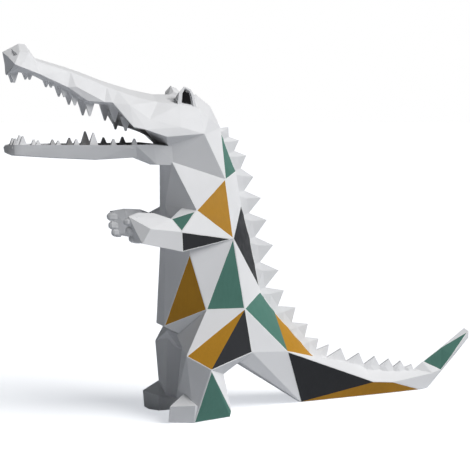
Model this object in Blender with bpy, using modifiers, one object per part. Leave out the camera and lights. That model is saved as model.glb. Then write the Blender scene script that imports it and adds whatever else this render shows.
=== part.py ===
"""Crocodile sculpture: a faceted upright crocodile, cast in one piece.

The crocodile faces -X and stands on its two feet and its tail. Metres, +Z up,
origin on the ground under the middle of the figure.
"""
import math

import bmesh
import bpy
from mathutils import Vector

# Overall size: the body and limbs keep their pose and proportions as shares of these two
FIGURE_LENGTH = 0.330
FIGURE_WIDTH = 0.078

# The fin of spikes down the back, where a spike is thickest at its crease
FIN_THICKNESS = 0.0046
FIN_ROOT = 0.0060
FIN_RISE = 0.0030
TAIL_FIN_RISE = 0.0010
FIN_END_SINK = 0.0010
SPIKE_HEIGHT = 0.0119
SPIKE_THICKNESS = 0.0034
SPIKE_EDGE = 0.0014
SPIKE_CREASE = 0.35

# Teeth
TOOTH_LENGTH = 0.0083
TOOTH_WIDTH = 0.0072
TOOTH_THICKNESS = 0.0032
TOOTH_TIP = 0.0009
TOOTH_ROOT = 0.0022
TOOTH_INSET = 0.0026
TOOTH_SPLAY = 0.0006

# Eyes, brows and nostrils
EYE_LENGTH = 0.0130
EYE_HEIGHT = 0.0125
EYE_RIM = 0.0023
EYE_RECESS = 0.0008
BROW_DEPTH = 0.0010
NOSTRIL_DEPTH = 0.0022
CUTTER_REACH = 0.0030

# Fingers
FINGER_LENGTH = 0.0046
FINGER_HEIGHT = 0.0070
FINGER_WIDTH = 0.0058
FINGER_ROOT = 0.0034
FINGER_LEAN = 0.0012

# Colour and finish of the matte white resin
RESIN_COLOUR = (0.78, 0.78, 0.79, 1.0)
RESIN_ROUGHNESS = 0.55

# Corners are drawn in millimetres, as (x, half width, z), on a figure of this size
DRAWN_LENGTH = 330.0
DRAWN_WIDTH = 78.0
WELD_DISTANCE = 0.00005
NAME = "crocodile_sculpture"

# Corners that several parts of the body share
CHEEK_BACK = (-42, 19, 181)
MOUTH_CORNER = (-64.4, 13.5, 174.3)
MOUTH_BACK = (-65, 0, 174.5)
NECK_SIDE = (-60.8, 11, 163.6)
SHOULDER = (-49.5, 23, 133.5)
BACK_POINT = (-25.9, 27, 115.3)
RIB = (-53.8, 23, 107.3)
HIP_FRONT = (-43.5, 25, 71)
HIP_BACK = (-17.8, 26.5, 70.3)
BELLY_END = (-65.2, 7, 59)
RUMP = (-12, 25, 41.5)
TAIL_SIDE = (16, 18, 38.5)
KNEE = (-58.3, 28, 43.2)
KNEE_OUTER = (-46, 39, 35.4)
THIGH_UNDER = (-30.5, 22, 28.4)
ELBOW_TOP = (-61, 28, 121.5)
ELBOW_LOW = (-60.5, 28, 109)
ELBOW_INNER = (-65, 20, 129)
WRIST_TOP = (-84, 13, 133)
PALM_TOP = (-92.1, 18, 131.2)
WRIST_OUTER = (-81.3, 27.2, 124.2)
WRIST_LOW = (-86.5, 27, 115.2)
TOE_OUTER = (-53, 27.5, 0)
HEEL_OUTER = (-26.2, 22, 0)
HEEL_TOP = (-25.2, 22, 4.1)
HEEL_INNER = (-30, 10, 0)
ANKLE_FRONT = (-57.5, 22, 18.4)
ANKLE_OUTER = (-53.6, 31, 11.9)

# Half sections from the nose to the tail tip, each from the top line round to the middle underneath.
# The last corner but one of a snout section is on the gum.
SNOUT = [
    [(-164.6, 0, 231.5), (-162.4, 4.5, 228.8), (-159.6, 9.5, 224.4), (-162.2, 3, 218.4),
     (-162.2, 0, 218.4)],
    [(-154.8, 0, 236.4), (-155.5, 5.8, 231.5), (-156.4, 10.2, 222.8), (-155.6, 6.4, 219.7), (-155, 0, 219.6)],
    [(-150.6, 0, 236.2), (-149.8, 6, 231.2), (-150.4, 10.2, 220.6), (-149.6, 6.8, 218.6), (-149, 0, 218.6)],
    [(-146, 0, 228.4), (-145, 5.5, 226), (-144, 9.6, 218.2), (-143.5, 7, 217), (-143, 0, 217)],
    [(-125.2, 0, 222.2), (-124, 5.6, 219.6), (-127, 9.4, 210.4), (-126.6, 7.8, 208.6), (-127, 0, 209)],
    [(-116.3, 0, 219.2), (-115, 6.4, 216), (-122, 10, 210.7), (-114.8, 10.4, 202), (-113, 9, 200.6),
     (-114, 0, 202)],
    [(-103.6, 0, 214.4), (-102, 7.4, 210.4), (-105, 12, 201.4), (-103, 10.4, 199.6), (-104, 0, 202)],
    [(-97, 0, 212.2), (-95, 8.2, 208), (-99.8, 12.7, 200.8), (-99, 11.2, 198.8), (-100, 0, 202)],
    [(-84, 0, 208.4), (-82, 9.4, 203.6), (-89.4, 14.5, 199.3), (-89, 20, 186.1), (-86, 12, 185),
     (-88, 0, 189)],
    [(-69.6, 0, 205.4), (-70, 10.4, 201), (-77.8, 18, 190.8), (-81.3, 21, 184.4), (-79, 13, 183.6),
     (-80, 0, 184)],
]
SKULL = [
    [(-54, 0, 205), (-56, 13, 199), (-58.5, 20, 185.5), (-68.2, 21.5, 179.8), (-70.5, 0, 178.2)],
    [(-40, 0, 204.8), (-43, 13, 196.6), CHEEK_BACK, MOUTH_CORNER, MOUTH_BACK],
    [(-30.5, 0, 197.4), (-36, 11.5, 190), CHEEK_BACK, MOUTH_CORNER, MOUTH_BACK],
]
TRUNK = [
    [(-23.3, 0, 183.6), CHEEK_BACK, MOUTH_CORNER, MOUTH_BACK],
    [(-12, 0, 155.6), (-27, 17, 152), NECK_SIDE, (-61.5, 5, 161), (-61.5, 0, 161)],
    [(-8.6, 0, 134.6), BACK_POINT, SHOULDER, (-63.2, 5, 135), (-63.2, 0, 135)],
    [(-2.6, 0, 113.6), BACK_POINT, RIB, (-63.2, 4.5, 109.5), (-63.2, 0, 109.5)],
    [(5.4, 0, 76.4), HIP_BACK, HIP_FRONT, BELLY_END, (-65.2, 0, 59)],
]
TAIL = [
    [(14.4, 0, 64.2), TAIL_SIDE, RUMP, (-17.5, 21, 34.2), (-17.5, 0, 34.2)],
    [(46, 0, 28.8), TAIL_SIDE, (33, 3.6, 0), (33, 0, 0)],
    [(82, 0, 20), (85.4, 8.4, 10.4), (52, 3.6, 0), (52, 0, 0)],
    [(104, 0, 16.4), (101, 7.6, 8.6), (98, 3.4, 0), (98, 0, 0)],
    [(121, 0, 14.4), (134, 3.4, 11), (126, 2.6, 0), (126, 0, 0)],
]
TAIL_TIP = [
    [(128, 0, 19), (141, 2.6, 12.4), (131.5, 1.6, 0.6), (131.5, 0, 0.6)],
    [(143, 0, 28.2), (151, 2.8, 23), (153.6, 0, 21.2)],
    [(161, 0, 40.3), (164, 1.4, 38), (165, 0, 33)],
]

# Half sections of the lower jaw: floor of the mouth, rim, then the underside
JAW = [
    [(-165, 0, 174.6), (-163.6, 1.9, 176), (-163.3, 1.4, 171.2), (-164.4, 0, 171.4)],
    [(-159, 0, 173.6), (-159.6, 5.2, 176.2), (-159, 3.6, 170), (-160, 0, 169.4)],
    [(-132, 0, 173), (-132, 8.3, 175.7), (-132, 5.6, 167.6), (-132, 0, 167)],
    [(-107, 0, 172.4), (-107.5, 10.7, 175.1), (-107, 7.4, 166), (-107, 0, 165.3)],
    [(-85, 0, 172), (-85.6, 13.3, 174.8), (-83, 9, 166.8), (-82, 0, 166.4)],
    [(-72, 0, 171), (-74, 14.6, 174.9), (-71, 10.6, 162), (-71, 0, 161.3)],
    [(-56, 0, 171), (-58, 13.4, 173), (-56, 10.4, 161.4), (-56, 0, 160.6)],
]

# Limbs, each the convex solid around its corners
LIMBS = {
    "thigh": [HIP_FRONT, HIP_BACK, KNEE, (-57.5, 9, 53), (-20, 7, 38), (-50, 8, 42)],
    "haunch": [HIP_BACK, KNEE, KNEE_OUTER, RUMP, THIGH_UNDER, (-57.5, 9, 53), (-20, 7, 38), (-50, 8, 42)],
    "shin": [KNEE, KNEE_OUTER, THIGH_UNDER, TOE_OUTER, HEEL_OUTER, HEEL_TOP, ANKLE_FRONT, (-55, 13, 50),
             (-60, 18, 20.5), (-58, 9.5, 12), HEEL_INNER, (-36, 9, 40)],
    "foot": [(-62, 12, 0), (-66.5, 18.5, 0), (-68.4, 22.5, 1.2), TOE_OUTER, HEEL_OUTER, HEEL_INNER,
             (-68.4, 25, 11.4), ANKLE_OUTER, (-62.4, 12, 10), ANKLE_FRONT, (-40, 14, 12)],
    "upper_arm": [SHOULDER, BACK_POINT, ELBOW_TOP, ELBOW_LOW, ELBOW_INNER, (-60, 16, 130.6),
                  (-54.6, 14, 135.6), (-57, 15, 110), (-40, 10, 128), (-40, 10, 112)],
    "forearm": [ELBOW_TOP, ELBOW_LOW, ELBOW_INNER, (-73.5, 12.4, 132.2), WRIST_TOP, PALM_TOP,
                WRIST_OUTER, WRIST_LOW, (-60, 15, 110), (-84, 14, 116)],
    "palm": [WRIST_TOP, WRIST_OUTER, WRIST_LOW, PALM_TOP, (-91, 15.5, 131.4), (-89.3, 18, 115.9),
             (-89.2, 16, 116), (-79, 11, 118)],
}

# Runs of spikes from the neck to the tail: how many, first and last relative span,
# first and last share of the full height, and where along its span a spike's tip stands
SPIKE_RUNS = [
    (4, (7.5, 14.3), (0.38, 0.66), 0.50),
    (4, (15.4, 17.9), (0.88, 1.00), 0.51),
    (4, (17.0, 13.0), (0.80, 0.54), 0.64),
    (1, (11.0, 11.0), (0.68, 0.68), 0.62),
    (6, (15.5, 7.5), (0.66, 0.30), 0.60),
]
TAIL_RUN = 3

# Teeth of one side, as (x, share of the full length)
UPPER_TEETH = [(-158.4, 0.72), (-149.4, 0.44), (-136.4, 0.40), (-128.3, 0.62), (-121.8, 0.78),
               (-112.7, 0.96), (-97.6, 1.00), (-90.6, 0.80)]
LOWER_TEETH = [(-158.4, 0.45), (-154.0, 0.64), (-144.8, 0.32), (-132.6, 0.30), (-121.6, 0.42),
               (-111.0, 0.90), (-98.6, 0.44), (-85.6, 0.46)]

# The eye's bump: its middle, the half widths of its outer and inner face, and the arch's corners
# as shares of its length and height
EYE_BASE = (-51, 12.6, 197.8)
EYE_INNER = 6.5
EYE_SINK = 0.30
EYE_ARCH = [(-0.50, 0.06), (-0.40, 0.72), (-0.13, 1.00), (0.20, 0.84), (0.35, 0.60), (0.50, -0.10)]
EYE_LEAN = 1.0

# Pits in the surface, as the corners of their rims
BROW_PIT = [(-62.5, 6.2, 203.1), (-57.4, 6.6, 203), (-58.2, 12.3, 199.8)]
NOSTRIL_PIT = [(-159.3, 2.2, 234.2), (-156.9, 5.9, 229.4), (-160.2, 5.6, 229.3)]

# Fingers of one hand: root at the front of the palm, and share of the full length. Each finger's
# steps are the share along it and how wide it is there
FINGERS = [((-89.8, 17.4, 127.8), 1.0), ((-89.4, 17.6, 122.2), 0.85), ((-88.6, 17.8, 117.6), 0.6)]
FINGER_SIDES = 8
FINGER_STEPS = ((0.0, 1.0), (0.45, 0.96), (0.8, 0.78), (1.0, 0.42))


def corner(place):
    """The real place of a drawn corner, on the right side of the figure."""
    x, half_width, z = place
    along = FIGURE_LENGTH / DRAWN_LENGTH
    return Vector((x * along, -half_width * FIGURE_WIDTH / DRAWN_WIDTH, z * along))


def new_object(name, mesh_data, collection):
    bmesh.ops.recalc_face_normals(mesh_data, faces=mesh_data.faces)
    mesh = bpy.data.meshes.new(name)
    mesh_data.to_mesh(mesh)
    mesh_data.free()
    thing = bpy.data.objects.new(name, mesh)
    collection.objects.link(thing)
    return thing


def second_diagonal_is_outer(first_a, first_b, second_a, second_b, inside):
    """Whether the diagonal from first_b to second_a passes outside the one from first_a to second_b."""
    normal = (second_b - first_a).cross(second_a - first_b)
    offset = normal * normal.dot(first_b - first_a)
    return offset.dot(first_a + second_b - inside - inside) > 0


def add_strip(mesh_data, first, second):
    """Triangles between two rows of corners, creased outwards like cut facets."""
    rows = first + second
    inside = sum((vert.co for vert in rows), Vector()) / len(rows)
    inside.y = 0
    i = 0
    j = 0
    while i < len(first) - 1 or j < len(second) - 1:
        next_first = (i + 1) / (len(first) - 1)
        next_second = (j + 1) / (len(second) - 1)
        step_first = next_first < next_second
        if next_first == next_second:
            quad = (first[i].co, first[i + 1].co, second[j].co, second[j + 1].co)
            step_first = second_diagonal_is_outer(*quad, inside)
        if step_first:
            triangle = (first[i], first[i + 1], second[j])
            i += 1
        else:
            triangle = (first[i], second[j + 1], second[j])
            j += 1
        if len(set(triangle)) == 3:
            mesh_data.faces.new(triangle)


def half_loft(name, sections, collection):
    """One half of a body lofted through unlike half sections, mirrored to the other side."""
    mesh_data = bmesh.new()
    made = {}
    rows = []
    for section in sections:
        for place in section:
            if place not in made:
                made[place] = mesh_data.verts.new(corner(place))
        rows.append([made[place] for place in section])
    for first, second in zip(rows, rows[1:]):
        add_strip(mesh_data, first, second)
    mesh_data.faces.new(rows[0])
    mesh_data.faces.new(rows[-1])
    thing = new_object(name, mesh_data, collection)
    mirror = thing.modifiers.new("both sides", "MIRROR")
    mirror.use_axis = (False, True, False)
    mirror.merge_threshold = WELD_DISTANCE
    return thing


def add_hull(name, points, collection):
    """The smallest convex solid around some points."""
    mesh_data = bmesh.new()
    for point in points:
        mesh_data.verts.new(point)
    hull = bmesh.ops.convex_hull(mesh_data, input=mesh_data.verts)
    loose = [vert for vert in hull["geom_interior"] if isinstance(vert, bmesh.types.BMVert)]
    bmesh.ops.delete(mesh_data, geom=loose, context="VERTS")
    return new_object(name, mesh_data, collection)


def add_both(name, points, collection):
    """A convex piece on the right side and its mirror image on the left."""
    add_hull(name + "_right", points, collection)
    mirrored = [Vector((point.x, -point.y, point.z)) for point in points]
    add_hull(name + "_left", mirrored, collection)


def point_along(line, distance):
    """The point at a distance along a line of points, carried on straight past its ends."""
    for start, end in zip(line, line[1:]):
        length = (end - start).length
        if distance <= length or end is line[-1]:
            return start.lerp(end, distance / length)
        distance -= length


def spike_list():
    """Relative span, height, tip place and rise of the fin under each spike."""
    spikes = []
    for run, (count, spans, heights, tip_share) in enumerate(SPIKE_RUNS):
        for number in range(count):
            share = number / max(count - 1, 1)
            span = spans[0] + (spans[1] - spans[0]) * share
            height = heights[0] + (heights[1] - heights[0]) * share
            rise = FIN_RISE if run < TAIL_RUN else TAIL_FIN_RISE
            spikes.append((span, height * SPIKE_HEIGHT, tip_share, rise))
    return spikes


def fin_foot(line, distance, reach, rise):
    """Root and crest of the fin at a distance along the back line."""
    heading = point_along(line, distance + reach) - point_along(line, distance - reach)
    outward = Vector((-heading.z, 0, heading.x)).normalized()
    place = point_along(line, distance)
    return place - outward * FIN_ROOT, place + outward * rise


def widened(point, thickness):
    """A point on the middle plane, moved to both sides."""
    half = Vector((0, thickness / 2, 0))
    return [point - half, point + half]


def add_spike(mesh_data, front, back, crease, tip):
    """Sides and edges of one spike of the fin, between its front and back pairs of root and crest."""
    front_root, front_crest = front
    back_root, back_crest = back
    for side in (0, 1):
        for triangle in ((front_root[side], front_crest[side], crease[side]),
                         (front_root[side], crease[side], back_root[side]),
                         (crease[side], back_crest[side], back_root[side]),
                         (front_crest[side], tip[side], crease[side]),
                         (crease[side], tip[side], back_crest[side])):
            mesh_data.faces.new(triangle)
    for start, end in ((front_crest, tip), (tip, back_crest), (front_root, back_root)):
        mesh_data.faces.new((start[0], start[1], end[1], end[0]))


def add_fin(collection):
    """The row of spikes that stands on the back line from the neck to the tail."""
    line = [corner(section[0]) for section in TRUNK + TAIL]
    length = sum((end - start).length for start, end in zip(line, line[1:]))
    spikes = spike_list()
    scale = length / sum(span for span, height, tip_share, rise in spikes)
    mesh_data = bmesh.new()

    def pair(point, thickness):
        return [mesh_data.verts.new(side) for side in widened(point, thickness)]

    def foot(distance, reach, rise):
        root, crest = fin_foot(line, distance, reach, rise)
        return crest, (pair(root, FIN_THICKNESS), pair(crest, SPIKE_EDGE))

    distance = 0
    front, front_foot = foot(distance, spikes[0][0] * scale / 2, -FIN_END_SINK)
    first_foot = front_foot
    for number, (span, height, tip_share, rise) in enumerate(spikes):
        distance += span * scale
        is_last = number == len(spikes) - 1
        back, back_foot = foot(distance, span * scale / 2, -FIN_END_SINK if is_last else rise)
        chord = back - front
        outward = Vector((-chord.z, 0, chord.x)).normalized()
        crease = pair(front + chord * SPIKE_CREASE, SPIKE_THICKNESS)
        tip = pair(front + chord * tip_share + outward * height, SPIKE_EDGE)
        add_spike(mesh_data, front_foot, back_foot, crease, tip)
        front, front_foot = back, back_foot
    for root, crest in (first_foot, front_foot):
        mesh_data.faces.new((root[0], root[1], crest[1], crest[0]))
    new_object("fin", mesh_data, collection)


def place_on_row(row, x):
    """The real place at a drawn x on a row of drawn corners that runs from front to back."""
    for start, end in zip(row, row[1:]):
        if x <= end[0] or end is row[-1]:
            share = (x - start[0]) / (end[0] - start[0])
            return corner(start).lerp(corner(end), share)


def add_teeth(name, row, teeth, up, collection):
    """One row of four-sided teeth on each side, blunt at the tip; up is 1 or -1."""
    inward = Vector((0, TOOTH_INSET, 0))
    outward = Vector((0, -TOOTH_SPLAY, 0))
    for number, (x, size) in enumerate(teeth):
        root = place_on_row(row, x) + inward - Vector((0, 0, up * TOOTH_ROOT))
        length = size * TOOTH_LENGTH
        width = TOOTH_WIDTH * (1 + size) / 2
        tip = root + outward + Vector((0, 0, up * (TOOTH_ROOT + length)))
        points = []
        for middle, across, deep in ((root, width, TOOTH_THICKNESS), (tip, TOOTH_TIP, TOOTH_TIP)):
            points += widened(middle - Vector((across / 2, 0, 0)), deep)
            points += widened(middle + Vector((across / 2, 0, 0)), deep)
        add_both(f"{name}_tooth_{number + 1}", points, collection)


def eye_arch(depth_share, inset):
    """Corners of the eye's arch between its outer face, at share 0, and its inner one, at 1."""
    base = corner(EYE_BASE)
    lean = corner((0, EYE_LEAN, 0)).y
    inner = corner((0, EYE_INNER, 0)).y
    corners = []
    for along, up in EYE_ARCH:
        side = base.y - lean * up
        across = side + (inner - side) * depth_share
        height = (up * (1 - EYE_SINK * depth_share)) * (EYE_HEIGHT - inset)
        x = base.x + along * (EYE_LENGTH - 2 * inset)
        corners.append(Vector((x, across, base.z + height + inset / 2)))
    return corners


def add_eyes(additions, cuts):
    """The arched bump of each eye, and the shallow recess that leaves a rim round it."""
    foot = [point - Vector((0, 0, EYE_HEIGHT / 3)) for point in eye_arch(1, 0)]
    add_both("eye", eye_arch(0, 0) + eye_arch(1, 0) + foot, additions)
    floor = [point + Vector((0, EYE_RECESS, 0)) for point in eye_arch(0, EYE_RIM)]
    mouth = [point - Vector((0, CUTTER_REACH, 0)) for point in eye_arch(0, EYE_RIM)]
    add_both("eye_recess", floor + mouth, cuts)


def add_pit(name, rim, depth, cuts):
    """A pit with the rim's outline, sunk square to the rim's plane on both sides of the figure."""
    corners = [corner(place) for place in rim]
    normal = (corners[1] - corners[0]).cross(corners[2] - corners[0]).normalized()
    if normal.z < 0:
        normal = -normal
    floor = [point - normal * depth for point in corners]
    mouth = [point + normal * CUTTER_REACH for point in corners]
    add_both(name, floor + mouth, cuts)


def add_fingers(collection):
    """Three short rounded lobes on each hand, narrower towards their tips and leaning inwards."""
    for number, (place, size) in enumerate(FINGERS):
        root = corner(place)
        length = FINGER_ROOT + size * FINGER_LENGTH
        points = []
        for share, narrow in FINGER_STEPS:
            for side in range(FINGER_SIDES):
                angle = 2 * math.pi * (side + 0.5) / FINGER_SIDES
                across = math.cos(angle) * narrow * FINGER_WIDTH / 2 + share * FINGER_LEAN
                up = math.sin(angle) * narrow * FINGER_HEIGHT / 2
                points.append(root + Vector((FINGER_ROOT - share * length, across, up)))
        add_both(f"finger_{number + 1}", points, collection)


def resin():
    """Matte white resin."""
    material = bpy.data.materials.new("white_resin")
    material.use_nodes = True
    shader = material.node_tree.nodes["Principled BSDF"]
    shader.inputs["Base Color"].default_value = RESIN_COLOUR
    shader.inputs["Roughness"].default_value = RESIN_ROUGHNESS
    shader.inputs["Metallic"].default_value = 0.0
    return material


def new_collection(name):
    collection = bpy.data.collections.new(name)
    bpy.context.scene.collection.children.link(collection)
    return collection


def shape_with(body, operation, tools):
    """Join or cut the body with every solid of a collection, which stays as a guide."""
    for thing in tools.objects:
        thing.hide_render = True
        thing.display_type = "WIRE"
    boolean = body.modifiers.new(tools.name, "BOOLEAN")
    boolean.operation = operation
    boolean.operand_type = "COLLECTION"
    boolean.collection = tools
    boolean.solver = "EXACT"


def main():
    for thing in list(bpy.data.objects):
        bpy.data.objects.remove(thing, do_unlink=True)
    sculpture = new_collection("crocodile sculpture")
    additions = new_collection("carving additions")
    cuts = new_collection("carving cuts")

    body = half_loft(NAME, SNOUT + SKULL + TRUNK + TAIL + TAIL_TIP, sculpture)
    body.data.materials.append(resin())
    half_loft("lower_jaw", JAW, additions)
    for name, places in LIMBS.items():
        add_both(name, [corner(place) for place in places], additions)
    add_fingers(additions)
    add_fin(additions)
    add_teeth("upper", [section[-2] for section in SNOUT], UPPER_TEETH, -1, additions)
    add_teeth("lower", [section[1] for section in JAW], LOWER_TEETH, 1, additions)
    add_eyes(additions, cuts)
    add_pit("brow_pit", BROW_PIT, BROW_DEPTH, cuts)
    add_pit("nostril", NOSTRIL_PIT, NOSTRIL_DEPTH, cuts)
    shape_with(body, "UNION", additions)
    shape_with(body, "DIFFERENCE", cuts)


main()
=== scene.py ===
"""Looks of the crocodile sculpture: matte white cast resin, hand painted with triangles of colour.

The figure faces -X. Points are written in millimetres, as (x, half width, z), on a figure 330 mm
long; a half width is on the right side, at -Y, and its mirror image is on the left.
"""
import math

import bmesh
import bpy
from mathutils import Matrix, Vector, noise
from mathutils.bvhtree import BVHTree


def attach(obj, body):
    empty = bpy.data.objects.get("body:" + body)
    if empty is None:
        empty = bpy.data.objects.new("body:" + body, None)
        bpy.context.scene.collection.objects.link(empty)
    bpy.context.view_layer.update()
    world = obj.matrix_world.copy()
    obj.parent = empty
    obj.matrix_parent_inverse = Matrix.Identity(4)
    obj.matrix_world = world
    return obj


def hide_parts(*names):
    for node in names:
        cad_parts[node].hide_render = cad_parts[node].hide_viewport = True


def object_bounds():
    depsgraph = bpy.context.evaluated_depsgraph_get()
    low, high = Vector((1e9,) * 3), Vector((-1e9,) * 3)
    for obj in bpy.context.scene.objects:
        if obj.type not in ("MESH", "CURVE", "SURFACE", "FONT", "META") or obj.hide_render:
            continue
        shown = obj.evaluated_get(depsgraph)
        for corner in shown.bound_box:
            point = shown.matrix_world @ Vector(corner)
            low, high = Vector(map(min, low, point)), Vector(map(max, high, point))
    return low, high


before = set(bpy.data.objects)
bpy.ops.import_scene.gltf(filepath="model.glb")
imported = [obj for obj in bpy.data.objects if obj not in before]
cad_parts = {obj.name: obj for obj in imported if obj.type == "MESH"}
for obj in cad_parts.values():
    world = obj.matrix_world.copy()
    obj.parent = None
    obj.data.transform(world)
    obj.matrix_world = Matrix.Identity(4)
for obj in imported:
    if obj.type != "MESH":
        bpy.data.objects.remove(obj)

CAD_LOW, CAD_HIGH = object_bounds()
NODE = "crocodile_sculpture"
DRAWN_LENGTH = 330.0
MILLIMETRE = (CAD_HIGH.x - CAD_LOW.x) / DRAWN_LENGTH

# Cleaning of the cast's mesh: faces within the second angle count as one facet
WELD = 0.03 * MILLIMETRE
FLAT_ANGLE = 0.004
SAME_FACET_ANGLE = 0.012

# Softness of the long creases between large facets, away from edges shorter than the short one
ROUNDING = 0.22 * MILLIMETRE
ROUNDING_STEPS = 2
ROUND_PROFILE = 0.5
CREASE_ANGLE = math.radians(8)
LONG_EDGE = 5.0 * MILLIMETRE
SHORT_EDGE = 2.4 * MILLIMETRE
LARGE_FACET = 14.0 * MILLIMETRE ** 2

# The white line left round each painted patch, and how much a brush wavers along it
PAINT_MARGIN = 0.26 * MILLIMETRE
BRUSH_STEP = 2.5 * MILLIMETRE
BRUSH_WAVER = 0.12 * MILLIMETRE
BRUSH_WAVE = 5.0 * MILLIMETRE

# Corners of the painted facets: down the back line
NAPE = (-23.3, 0, 183.6)
BACK_TOP = (-12, 0, 155.6)
BACK_HIGH = (-8.6, 0, 134.6)
BACK_MIDDLE = (-2.6, 0, 113.6)
BACK_LOW = (5.4, 0, 76.4)

# Down the side of the trunk, and on the arm
SHOULDER_BLADE = (-27, 17, 152)
SHOULDER = (-49.5, 23, 133.5)
BACK_POINT = (-25.9, 27, 115.3)
RIB = (-53.8, 23, 107.3)
HIP_FRONT = (-43.5, 25, 71)
HIP_BACK = (-17.8, 26.5, 70.3)
BELLY_END = (-65.2, 7, 59)
ELBOW_TOP = (-61, 28, 121.5)
ELBOW_LOW = (-60.5, 28, 109)
ELBOW_INNER = (-65, 20, 129)

# On the leg
KNEE = (-58.3, 28, 43.2)
KNEE_OUTER = (-46, 39, 35.4)
RUMP = (-12, 25, 41.5)
TOE_OUTER = (-53, 27.5, 0)
HEEL_OUTER = (-26.2, 22, 0)
HEEL_TOP = (-25.2, 22, 4.1)

# Along the tail: its ridge, its flank, its edge on the ground, and its raised tip
TAIL_TOP = (14.4, 0, 64.2)
TAIL_RIDGE = (46, 0, 28.8)
TAIL_SIDE = (16, 18, 38.5)
TAIL_FLANK = (85.4, 8.4, 10.4)
TAIL_FLANK_BACK = (101, 7.6, 8.6)
GROUND_FRONT = (33, 3.6, 0)
GROUND_MIDDLE = (52, 3.6, 0)
GROUND_BACK = (98, 3.4, 0)
GROUND_END = (126, 2.6, 0)
TIP_ROOT = (128, 0, 19)
TIP_FLANK = (141, 2.6, 12.4)
BEND_RIDGE = (143, 0, 28.2)
BEND_FLANK = (151, 2.8, 23)
TIP_END = (164, 1.4, 38)

# Painted patches. Each is one or more areas that touch with no white line between them: an area's
# colour on the right side, its colour on the left, and its facets
PATCHES = [
    [("green", "mustard", [(NAPE, BACK_TOP, SHOULDER_BLADE)])],
    [("mustard", "green", [(SHOULDER_BLADE, SHOULDER, BACK_POINT)])],
    [("charcoal", "charcoal", [(BACK_HIGH, BACK_MIDDLE, BACK_POINT), (BACK_MIDDLE, BACK_LOW, BACK_POINT)])],
    [("green", "mustard", [(BACK_POINT, HIP_FRONT, HIP_BACK)])],
    [("mustard", "charcoal", [(RIB, BELLY_END, HIP_FRONT)])],
    [("green", "green", [(SHOULDER, ELBOW_INNER, ELBOW_TOP)])],
    [("charcoal", "mustard", [(BACK_POINT, ELBOW_TOP, ELBOW_LOW)])],
    [("mustard", "charcoal", [(HIP_BACK, KNEE, KNEE_OUTER)]),
     ("charcoal", "green", [(HIP_BACK, KNEE_OUTER, RUMP)])],
    [("green", "mustard", [(KNEE_OUTER, TOE_OUTER, HEEL_OUTER), (KNEE_OUTER, HEEL_OUTER, HEEL_TOP)])],
    [("green", "mustard", [(BACK_LOW, HIP_BACK, TAIL_SIDE), (BACK_LOW, TAIL_SIDE, TAIL_TOP)]),
     ("mustard", "green", [(TAIL_TOP, TAIL_SIDE, TAIL_RIDGE)])],
    [("charcoal", "charcoal", [(TAIL_SIDE, GROUND_FRONT, TAIL_FLANK)]),
     ("mustard", "green", [(GROUND_FRONT, GROUND_MIDDLE, TAIL_FLANK),
                           (GROUND_MIDDLE, TAIL_FLANK_BACK, TAIL_FLANK),
                           (GROUND_MIDDLE, GROUND_BACK, TAIL_FLANK_BACK),
                           (GROUND_BACK, GROUND_END, TAIL_FLANK_BACK)])],
    [("green", "mustard", [(TIP_ROOT, TIP_FLANK, BEND_RIDGE), (TIP_FLANK, BEND_FLANK, BEND_RIDGE),
                           (BEND_RIDGE, BEND_FLANK, TIP_END)])],
]

# The darkening inside the mouth, dark brown staining on its floor and darker towards the back on its roof:
# where it lies, the line that divides it into floor and roof, for each of these the places between which it
# deepens, and how far inwards a darkened face looks
MOUTH_LOW = (-150.0, 0.0, 170.5)
MOUTH_HIGH = (-60.0, 20.0, 212.0)
MOUTH_BACK = (-65.0, 176.0)
MOUTH_FRONT = (-160.0, 196.0)
FLOOR_STAIN = (-150.0, -120.0)
ROOF_DARKENING = (-104.0, -80.0)
INWARD_SHARE = 0.25

# The lower teeth stand above the rim of the jaw, and are darkened less than the floor
RIM_HEIGHT = 177.0
TOOTH_DARKENING_SHARE = 0.62

# Painted shade on the tip of the lower jaw and its first teeth, a faint darkening
TIP_TOP = 182.0
TIP_BACK = -150.0
TIP_SHADE = (-154.0, -163.5)
TIP_SHADE_SHARE = 0.45

# The eye: a point on the floor of its recess, and the steps inwards and outwards of its black bead
EYE_SPOT = (-51, 13, 203)
EYE_STEPS = ((0.75, 0.0), (0.3, 0.35), (0.5, 0.25))

# Colours of the finish
RESIN = (0.79, 0.79, 0.80)
GREEN = (0.080, 0.196, 0.158)
MUSTARD = (0.46, 0.225, 0.018)
CHARCOAL = (0.030, 0.031, 0.034)
# The unpainted line round each patch, lighter than the resin: a painted highlight along the edges of the
# patches
WHITE_LINE_HIGHLIGHT = (0.88, 0.88, 0.86)
# Dark brown of the staining on the mouth's floor, also the darker colour of its roof and lower teeth and
# the painted shade on the jaw's tip
STAIN_AND_SHADE = (0.055, 0.044, 0.037)
EYE_BLACK = (0.012, 0.012, 0.013)

# Gloss, the range of roughness, how far the colour varies, and the size and depth of the grain
RESIN_GLOSS = 0.5
PAINT_GLOSS = 0.2
RESIN_ROUGHNESS = (0.50, 0.62)
PAINT_ROUGHNESS = (0.44, 0.60)
EYE_ROUGHNESS = (0.12, 0.20)
RESIN_MOTTLE = 0.015
PAINT_MOTTLE = 0.06
EYE_MOTTLE = 0.1
RESIN_GRAIN = (0.0007, 0.00006)
LINE_GRAIN = (0.0007, 0.00004)
PAINT_GRAIN = (0.0009, 0.00005)
EYE_GRAIN = (0.002, 0.00002)

# Noises, as the size of their features in metres and their detail, and the middle of their range
MOTTLE_NOISE = (0.018, 4)
GLOSS_NOISE = (0.006, 3)
DARKENING_NOISE = (0.004, 3)
STREAK_NOISE = (0.0011, 3)
GRAIN_DETAIL = 5
GRAIN_STRENGTH = 0.35
NOISE_LOW = 0.3
NOISE_HIGH = 0.7
DARKENING_EVENNESS = 0.8

# Streaks of the brush: how they are turned and drawn out, how strong they are, and how much lighter
STREAK_TURN = (0.5, 0.9, 0.3)
STREAK_STRETCH = (1, 1, 0.12)
STREAK_SHARE = 0.22
STREAK_LIGHTER = 1.35

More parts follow.
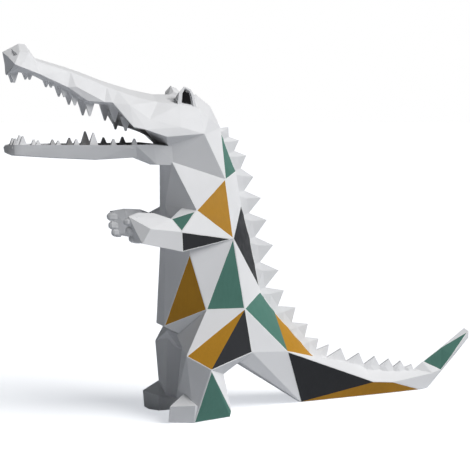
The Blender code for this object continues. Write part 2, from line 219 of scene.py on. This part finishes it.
# Camera: where it stands and how near it sees, in metres, where it looks, and its lens in millimetres
CAMERA_PLACE = (-0.3919, -0.8751, 0.2308)
CAMERA_NEAR = 0.01
CAMERA_PITCH = 83.02
CAMERA_TURN = -23.4
CAMERA_LENS = 113.8

# Lights: the soft key from the right front, as the angles of its place, its strength and spread
KEY_AZIMUTH = 313
KEY_ELEVATION = 42
KEY_STRENGTH = 2.95
KEY_SPREAD = 40
WORLD_COLOUR = (0.90, 0.97, 1.0)
WORLD_STRENGTH = 0.07

# Stage: how far it reaches, the height of its wall, the glow of its floor, which is also the colour
# of the shadow on it, and how much light its floor throws back
STAGE_REACH = 4.0
STAGE_WALL = 4.0
STAGE_SIDES = 64
STAGE_ROUGHNESS = 0.9
FLOOR_SHADE = (0.85, 0.85, 0.85)
FLOOR_GLOW = (0.545, 0.560, 0.590)
WALL_GLOW = (1.0, 1.0, 1.0)
BOUNCE_SHADE = (0.59, 0.61, 0.65)
BLACK = (0.0, 0.0, 0.0)
BOUNCE_DROP = 0.0004

# Places of the colour sockets on Blender's mix node
MIX_SHARE = 0
MIX_FIRST = 6
MIX_SECOND = 7
MIX_RESULT = 2


def place(point, side=1):
    """The real place of a drawn point, on the right side of the figure or, with side -1, on the left."""
    x, half_width, z = point
    return Vector((x, -side * half_width, z)) * MILLIMETRE


def middle_of(corners):
    """The drawn point in the middle of some drawn corners."""
    return [sum(values) / len(corners) for values in zip(*corners)]


def node(tree, kind, **values):
    """A new node with some of its inputs or settings filled in."""
    made = tree.nodes.new(kind)
    for name, value in values.items():
        if name in made.inputs:
            made.inputs[name].default_value = value
        else:
            setattr(made, name, value)
    return made


def noise_of(tree, coordinates, size, detail):
    """Noise with features of about the given size in metres."""
    made = node(tree, "ShaderNodeTexNoise", Scale=1 / size, Detail=detail)
    tree.links.new(coordinates, made.inputs["Vector"])
    return made.outputs["Fac"]


def spread(tree, value, low, high):
    """A noise value, which keeps near its middle, spread between two values."""
    made = node(tree, "ShaderNodeMapRange")
    made.inputs["From Min"].default_value = NOISE_LOW
    made.inputs["From Max"].default_value = NOISE_HIGH
    made.inputs["To Min"].default_value = low
    made.inputs["To Max"].default_value = high
    tree.links.new(value, made.inputs["Value"])
    return made.outputs["Result"]


def mixed(tree, share, first, second):
    """A colour between two others, by a share; a colour is a fixed one or an output."""
    made = node(tree, "ShaderNodeMix", data_type="RGBA")
    tree.links.new(share, made.inputs[MIX_SHARE])
    for source, socket in ((first, made.inputs[MIX_FIRST]), (second, made.inputs[MIX_SECOND])):
        if isinstance(source, bpy.types.NodeSocket):
            tree.links.new(source, socket)
        else:
            socket.default_value = (*source, 1)
    return made.outputs[MIX_RESULT]


def shaded(colour, factor):
    """A colour made lighter or darker by a factor."""
    return tuple(channel * factor for channel in colour)


def streaked(tree, coordinates, colour_now, colour):
    """A colour with the lighter streaks of a brush in it."""
    turned = node(tree, "ShaderNodeMapping", Rotation=STREAK_TURN, Scale=STREAK_STRETCH)
    tree.links.new(coordinates, turned.inputs["Vector"])
    strokes = spread(tree, noise_of(tree, turned.outputs["Vector"], *STREAK_NOISE), 0, STREAK_SHARE)
    return mixed(tree, strokes, colour_now, shaded(colour, STREAK_LIGHTER))


def darkened(tree, coordinates, colour_now, reach, most):
    """A colour that turns darker between two places along the figure, up to a share of the dark colour."""
    parts = node(tree, "ShaderNodeSeparateXYZ")
    tree.links.new(coordinates, parts.inputs["Vector"])
    fade = node(tree, "ShaderNodeMapRange", interpolation_type="SMOOTHSTEP")
    fade.inputs["From Min"].default_value = reach[0] * MILLIMETRE
    fade.inputs["From Max"].default_value = reach[1] * MILLIMETRE
    tree.links.new(parts.outputs["X"], fade.inputs["Value"])
    blotches = spread(tree, noise_of(tree, coordinates, *DARKENING_NOISE), DARKENING_EVENNESS * most, most)
    share = node(tree, "ShaderNodeMath", operation="MULTIPLY")
    tree.links.new(fade.outputs["Result"], share.inputs[0])
    tree.links.new(blotches, share.inputs[1])
    return mixed(tree, share.outputs["Value"], colour_now, STAIN_AND_SHADE)


def finish_material(name, colour, gloss, roughness, mottle, grain, streaks=False, darken=None):
    """A cast or painted surface: mottled colour and gloss over a fine grain, streaked or darkened."""
    material = bpy.data.materials.new(name)
    material.use_nodes = True
    tree = material.node_tree
    shader = tree.nodes["Principled BSDF"]
    shader.inputs["Specular IOR Level"].default_value = gloss
    coordinates = node(tree, "ShaderNodeTexCoord").outputs["Object"]
    broad = spread(tree, noise_of(tree, coordinates, *MOTTLE_NOISE), 0, 1)
    colour_now = mixed(tree, broad, shaded(colour, 1 - mottle), shaded(colour, 1 + mottle))
    if streaks:
        colour_now = streaked(tree, coordinates, colour_now, colour)
    if darken:
        colour_now = darkened(tree, coordinates, colour_now, *darken)
    tree.links.new(colour_now, shader.inputs["Base Color"])
    polish = spread(tree, noise_of(tree, coordinates, *GLOSS_NOISE), *roughness)
    tree.links.new(polish, shader.inputs["Roughness"])
    grain_size, grain_depth = grain
    bumps = noise_of(tree, coordinates, grain_size, GRAIN_DETAIL)
    bump = node(tree, "ShaderNodeBump", Strength=GRAIN_STRENGTH, Distance=grain_depth)
    tree.links.new(bumps, bump.inputs["Height"])
    tree.links.new(bump.outputs["Normal"], shader.inputs["Normal"])
    return material


def darkened_resin(name, reach, most):
    """Resin that turns darker between two places, up to a share of the dark colour."""
    return finish_material(name, RESIN, PAINT_GLOSS, RESIN_ROUGHNESS, RESIN_MOTTLE, RESIN_GRAIN,
                           darken=(reach, most))


def materials():
    """Every finish of the figure, by name."""
    made = {
        "resin": finish_material("white_resin", RESIN, RESIN_GLOSS, RESIN_ROUGHNESS, RESIN_MOTTLE,
                                 RESIN_GRAIN),
        # The line round the painted patches, lighter than the resin as a painted highlight
        "line": finish_material("white_line_highlight", WHITE_LINE_HIGHLIGHT, PAINT_GLOSS, RESIN_ROUGHNESS, RESIN_MOTTLE,
                                LINE_GRAIN),
    }
    for name, colour in (("green", GREEN), ("mustard", MUSTARD), ("charcoal", CHARCOAL)):
        made[name] = finish_material(name + "_paint", colour, PAINT_GLOSS, PAINT_ROUGHNESS, PAINT_MOTTLE,
                                     PAINT_GRAIN, streaks=True)
    # Dark brown staining on the floor of the mouth
    made["mouth_floor"] = darkened_resin("stained_floor", FLOOR_STAIN, 1)
    # The roof and the lower teeth turn darker towards the back of the mouth
    made["mouth_roof"] = darkened_resin("darkened_roof", ROOF_DARKENING, 1)
    made["lower_teeth"] = darkened_resin("darkened_teeth", FLOOR_STAIN, TOOTH_DARKENING_SHARE)
    # Painted shade on the tip of the lower jaw
    made["jaw_tip_shade"] = darkened_resin("painted_shade_tip", TIP_SHADE, TIP_SHADE_SHARE)
    made["eye"] = finish_material("black_gloss", EYE_BLACK, RESIN_GLOSS, EYE_ROUGHNESS, EYE_MOTTLE,
                                  EYE_GRAIN)
    return made


def cast_mesh():
    """The cast's own facets, with flat neighbours joined into one."""
    shape = bmesh.new()
    shape.from_mesh(bpy.data.objects[NODE].data)
    bmesh.ops.remove_doubles(shape, verts=shape.verts, dist=WELD)
    bmesh.ops.dissolve_limit(shape, angle_limit=FLAT_ANGLE, verts=shape.verts, edges=shape.edges)
    return shape


def is_long_crease(edge):
    """Whether an edge is a long crease between two large facets, away from small detail."""
    if len(edge.link_faces) != 2 or edge.calc_length() < LONG_EDGE:
        return False
    if abs(edge.calc_face_angle(0)) < CREASE_ANGLE:
        return False
    if min(face.calc_area() for face in edge.link_faces) < LARGE_FACET:
        return False
    near = [other for vert in edge.verts for other in vert.link_edges]
    return min(other.calc_length() for other in near) > SHORT_EDGE


def faces_of(areas):
    """All the faces of a patch's areas, each once and in the order of its areas."""
    return list(dict.fromkeys(face for colour, faces in areas for face in faces))


def soften(shape):
    """Round the long creases a little, as a cast's are, but not those inside a painted patch."""
    inside = set()
    for areas in find_patches(shape):
        patch = set(faces_of(areas))
        inside |= {edge for face in patch for edge in face.edges if set(edge.link_faces) <= patch}
    creases = [edge for edge in shape.edges if edge not in inside and is_long_crease(edge)]
    bmesh.ops.bevel(shape, geom=creases, offset=ROUNDING, offset_type="OFFSET", segments=ROUNDING_STEPS,
                    profile=ROUND_PROFILE, affect="EDGES", clamp_overlap=False)
    for vert in shape.verts:
        for axis in range(3):
            vert.co[axis] = min(max(vert.co[axis], CAD_LOW[axis]), CAD_HIGH[axis])


def facet_at(shape, tree, point):
    """The facet nearest a point and any flat neighbours, in the order in which they are reached."""
    seed = shape.faces[tree.find_nearest(point)[2]]
    found = [seed]
    for face in found:
        for edge in face.edges:
            for other in edge.link_faces:
                if other not in found and other.normal.angle(seed.normal, math.pi) < SAME_FACET_ANGLE:
                    found.append(other)
    return found


def find_patches(shape):
    """Every painted patch on both sides, as lists of areas, each with its colour and faces."""
    shape.faces.ensure_lookup_table()
    tree = BVHTree.FromBMesh(shape)
    patches = []
    for areas in PATCHES:
        for side in (1, -1):
            found = []
            for right, left, facets in areas:
                faces = []
                for corners in facets:
                    faces += facet_at(shape, tree, place(middle_of(corners), side))
                found.append((right if side == 1 else left, faces))
            patches.append(found)
    return patches


def waver(shape, patch):
    """Make the outline of a painted patch a little uneven, within the plane of each facet."""
    inside = set(patch)
    outline = [edge for face in patch for edge in face.edges
               if len(edge.link_faces) == 2 and not set(edge.link_faces) <= inside]
    for edge in outline:
        cuts = int(edge.calc_length() / BRUSH_STEP)
        if not cuts:
            continue
        face = next(face for face in edge.link_faces if face in inside)
        along = (edge.verts[1].co - edge.verts[0].co).normalized()
        across = face.normal.cross(along)
        made = bmesh.ops.subdivide_edges(shape, edges=[edge], cuts=cuts)["geom_inner"]
        for vert in made:
            if isinstance(vert, bmesh.types.BMVert):
                vert.co += across * noise.noise(vert.co / BRUSH_WAVE) * BRUSH_WAVER


def paint(shape, slots):
    """Paint the patches, each with a white line left round it, made lighter than the resin as a painted
    highlight.
    """
    for areas in find_patches(shape):
        patch = faces_of(areas)
        line = bmesh.ops.inset_region(shape, faces=patch, thickness=PAINT_MARGIN,
                                      use_even_offset=True, use_boundary=True)["faces"]
        for face in line:
            face.material_index = slots.index("line")
        for colour, faces in areas:
            for face in faces:
                face.material_index = slots.index(colour)
        waver(shape, patch)


def mouth_height(x):
    """Height of the middle of the open mouth at a distance along the figure."""
    share = (x / MILLIMETRE - MOUTH_BACK[0]) / (MOUTH_FRONT[0] - MOUTH_BACK[0])
    return (MOUTH_BACK[1] + (MOUTH_FRONT[1] - MOUTH_BACK[1]) * share) * MILLIMETRE


def darkened_part(face):
    """The darkened part that a face belongs to, if any: the mouth's floor, roof or lower teeth, or the
    jaw's tip in painted shade.
    """
    low = place(MOUTH_LOW)
    high = place(MOUTH_HIGH)
    middle = face.calc_center_median()
    within = low.x < middle.x < high.x and low.z < middle.z < high.z and abs(middle.y) < -high.y
    gap_middle = Vector((middle.x, 0, mouth_height(middle.x)))
    if within and face.normal.dot((gap_middle - middle).normalized()) > INWARD_SHARE:
        if middle.z >= gap_middle.z:
            return "mouth_roof"
        top = max(vert.co.z for vert in face.verts)
        return "lower_teeth" if top > RIM_HEIGHT * MILLIMETRE else "mouth_floor"
    # The tip of the lower jaw, which gets painted shade
    front = min(vert.co.x for vert in face.verts)
    if front < TIP_BACK * MILLIMETRE and middle.z < TIP_TOP * MILLIMETRE:
        return "jaw_tip_shade"
    return None


def darken(shape, slots):
    """Darken the palate and the inner faces of the teeth, put dark brown staining on the floor of the
    mouth, and paint shade on the jaw's tip.
    """
    for face in shape.faces:
        part = darkened_part(face)
        if part:
            face.material_index = slots.index(part)


def add_eyes(shape, slots):
    """Raise a low bead from the floor of each eye's recess, and paint it black."""
    for side in (1, -1):
        shape.faces.ensure_lookup_table()
        tree = BVHTree.FromBMesh(shape)
        faces = facet_at(shape, tree, place(EYE_SPOT, side))
        for inset, lift in EYE_STEPS:
            bmesh.ops.inset_region(shape, faces=faces, thickness=inset * MILLIMETRE,
                                   depth=lift * MILLIMETRE, use_even_offset=True, use_boundary=True)
            for face in faces:
                face.material_index = slots.index("eye")


def sculpture():
    """The whole figure: the cast with soft edges, painted facets, eyes, a mouth darkened inside and painted
    shade on the jaw's tip.
    """
    finishes = materials()
    slots = list(finishes)
    shape = cast_mesh()
    soften(shape)
    darken(shape, slots)
    add_eyes(shape, slots)
    paint(shape, slots)
    mesh = bpy.data.meshes.new("painted_crocodile")
    shape.to_mesh(mesh)
    shape.free()
    for finish in finishes.values():
        mesh.materials.append(finish)
    figure = bpy.data.objects.new("painted_crocodile", mesh)
    bpy.context.scene.collection.objects.link(figure)
    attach(figure, "root")
    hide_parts(NODE)


def stage_mesh(name, rings, material):
    """A disc or a round wall through rings of (radius, height), in the stage's material."""
    shape = bmesh.new()
    rows = []
    for radius, height in rings:
        row = []
        for number in range(STAGE_SIDES):
            angle = 2 * math.pi * number / STAGE_SIDES
            row.append(shape.verts.new((radius * math.cos(angle), radius * math.sin(angle), height)))
        rows.append(row)
    for inner, outer in zip(rows, rows[1:]):
        for number in range(STAGE_SIDES):
            following = (number + 1) % STAGE_SIDES
            shape.faces.new((inner[number], outer[number], outer[following], inner[following]))
    if len(rows) == 1:
        shape.faces.new(rows[0])
    mesh = bpy.data.meshes.new(name)
    shape.to_mesh(mesh)
    shape.free()
    mesh.materials.append(material)
    thing = bpy.data.objects.new(name, mesh)
    bpy.context.scene.collection.objects.link(thing)
    return thing


def plain_material(name, shade, glow):
    """A matte material with a glow of its own."""
    material = bpy.data.materials.new(name)
    material.use_nodes = True
    shader = material.node_tree.nodes["Principled BSDF"]
    shader.inputs["Base Color"].default_value = (*shade, 1)
    shader.inputs["Roughness"].default_value = STAGE_ROUGHNESS
    shader.inputs["Specular IOR Level"].default_value = 0
    shader.inputs["Emission Color"].default_value = (*glow, 1)
    shader.inputs["Emission Strength"].default_value = 1
    return material


def stage():
    """A white floor and wall that only the camera sees, and a grey floor that throws light back."""
    floor = stage_mesh("floor", [(STAGE_REACH, 0)], plain_material("floor_white", FLOOR_SHADE, FLOOR_GLOW))
    wall = stage_mesh("wall", [(STAGE_REACH, 0), (STAGE_REACH, STAGE_WALL)],
                      plain_material("wall_white", BLACK, WALL_GLOW))
    for thing in (floor, wall):
        thing.visible_diffuse = False
        thing.visible_glossy = False
        thing.visible_shadow = False
    bounce = stage_mesh("bounce", [(STAGE_REACH, -BOUNCE_DROP)],
                        plain_material("bounce_grey", BOUNCE_SHADE, BLACK))
    bounce.visible_camera = False


def light():
    """One broad soft key, with a faint white surround."""
    key = bpy.data.lights.new("key", "SUN")
    key.energy = KEY_STRENGTH
    key.angle = math.radians(KEY_SPREAD)
    lamp = bpy.data.objects.new("key", key)
    bpy.context.scene.collection.objects.link(lamp)
    azimuth = math.radians(KEY_AZIMUTH)
    elevation = math.radians(KEY_ELEVATION)
    towards = Vector((math.cos(elevation) * math.cos(azimuth), math.cos(elevation) * math.sin(azimuth),
                      math.sin(elevation)))
    lamp.rotation_euler = towards.to_track_quat("Z", "Y").to_euler()
    world = bpy.data.worlds.new("surround")
    world.use_nodes = True
    world.node_tree.nodes["Background"].inputs["Color"].default_value = (*WORLD_COLOUR, 1)
    world.node_tree.nodes["Background"].inputs["Strength"].default_value = WORLD_STRENGTH
    bpy.context.scene.world = world
    bpy.context.scene.view_settings.view_transform = "Standard"


def camera():
    """The camera, at the photograph's angle."""
    lens = bpy.data.cameras.new("camera")
    lens.lens = CAMERA_LENS
    lens.clip_start = CAMERA_NEAR
    eye = bpy.data.objects.new("camera", lens)
    eye.location = CAMERA_PLACE
    eye.rotation_euler = (math.radians(CAMERA_PITCH), 0, math.radians(CAMERA_TURN))
    bpy.context.scene.collection.objects.link(eye)
    bpy.context.scene.camera = eye


sculpture()
stage()
light()
camera()
